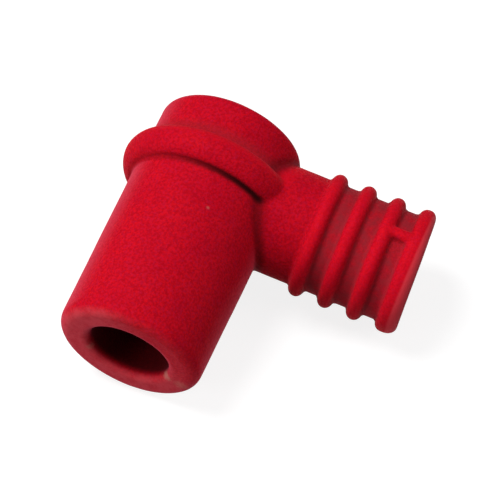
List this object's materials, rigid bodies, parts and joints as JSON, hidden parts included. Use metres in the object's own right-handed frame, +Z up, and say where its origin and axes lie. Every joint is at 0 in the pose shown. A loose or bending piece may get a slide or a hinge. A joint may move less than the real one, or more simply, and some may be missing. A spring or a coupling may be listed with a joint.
{
  "type": "spark plug cap",
  "caption": "Right-angled red silicone rubber cap with a ribbed cable neck, which snaps over a spark plug's terminal and insulator.",
  "frame": {"origin": "middle of the footprint, on the surface that the cap lies on", "axes": "+Z up as the cap lies on its side, +X the way the cable leaves, +Y towards the closed head, so the mouth for the plug opens towards -Y"},
  "size_m": [0.0468, 0.0406, 0.0269],
  "materials": {
    "silicone_rubber": "matte moulded silicone",
    "brass": "turned",
    "spring_steel": "drawn wire",
    "plated_steel": "zinc plated"
  },
  "bodies": {
    "root": {"boot": "silicone_rubber", "contact_socket": "brass", "retaining_spring": "spring_steel", "cable_screw": "plated_steel"}
  },
  "joints": []
}
